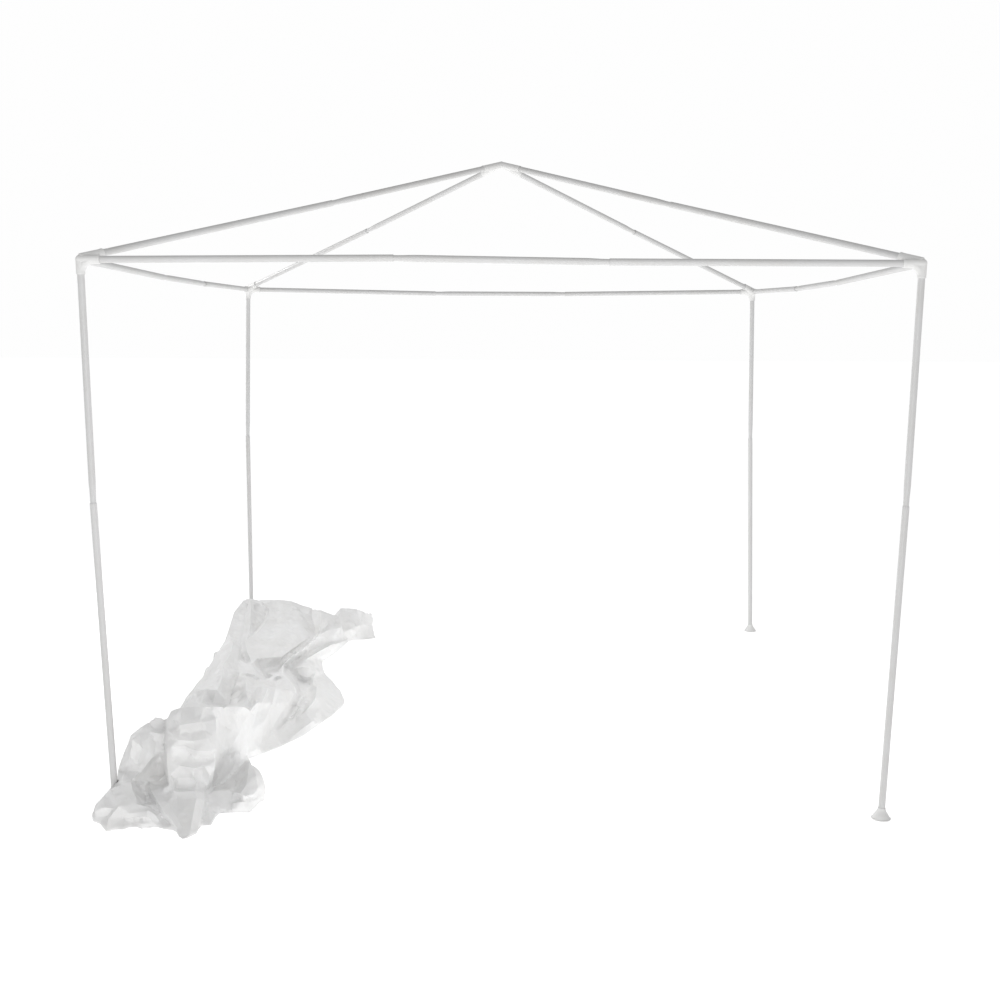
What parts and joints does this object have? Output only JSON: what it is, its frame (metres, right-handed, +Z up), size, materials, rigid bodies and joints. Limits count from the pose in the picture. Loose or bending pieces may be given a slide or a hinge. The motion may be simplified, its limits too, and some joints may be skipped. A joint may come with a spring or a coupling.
{
  "type": "party tent",
  "caption": "Party tent frame of slot-together white steel tubes with moulded corner and peak connectors and plate feet; its white roof cover lies crumpled on the floor along the left side.",
  "frame": {"origin": "on the floor at the middle of the whole footprint, frame and fallen cover together; the frame's own middle is 87 mm behind it, at y 0.087", "axes": "+X to the right along the front eave rail, +Y from the front to the back, +Z up"},
  "size_m": [3.132, 3.206, 2.578],
  "materials": {
    "painted_steel": "white paint, satin",
    "white_plastic": "white moulded plastic, fine matt grain",
    "cover_sheet": "white woven and laminated polyethylene sheet, soft sheen, crumpled"
  },
  "bodies": {
    "root": {"corner_connector_back_left": "white_plastic", "corner_connector_back_right": "white_plastic", "corner_connector_front_left": "white_plastic", "corner_connector_front_right": "white_plastic", "eave_back_left": "painted_steel", "eave_back_middle": "painted_steel", "eave_back_right": "painted_steel", "eave_front_left": "painted_steel", "eave_front_middle": "painted_steel", "eave_front_right": "painted_steel", "eave_left_back": "painted_steel", "eave_left_front": "painted_steel", "eave_left_middle": "painted_steel", "eave_right_back": "painted_steel", "eave_right_front": "painted_steel", "eave_right_middle": "painted_steel", "foot_back_left": "white_plastic", "foot_back_right": "white_plastic", "foot_front_left": "white_plastic", "foot_front_right": "white_plastic", "leg_back_left_lower": "painted_steel", "leg_back_left_upper": "painted_steel", "leg_back_right_lower": "painted_steel", "leg_back_right_upper": "painted_steel", "leg_front_left_lower": "painted_steel", "leg_front_left_upper": "painted_steel", "leg_front_right_lower": "painted_steel", "leg_front_right_upper": "painted_steel", "peak_connector": "white_plastic", "rafter_back_left_lower": "painted_steel", "rafter_back_left_upper": "painted_steel", "rafter_back_right_lower": "painted_steel", "rafter_back_right_upper": "painted_steel", "rafter_front_left_lower": "painted_steel", "rafter_front_left_upper": "painted_steel", "rafter_front_right_lower": "painted_steel", "rafter_front_right_upper": "painted_steel", "roof_cover": "cover_sheet"}
  },
  "joints": []
}
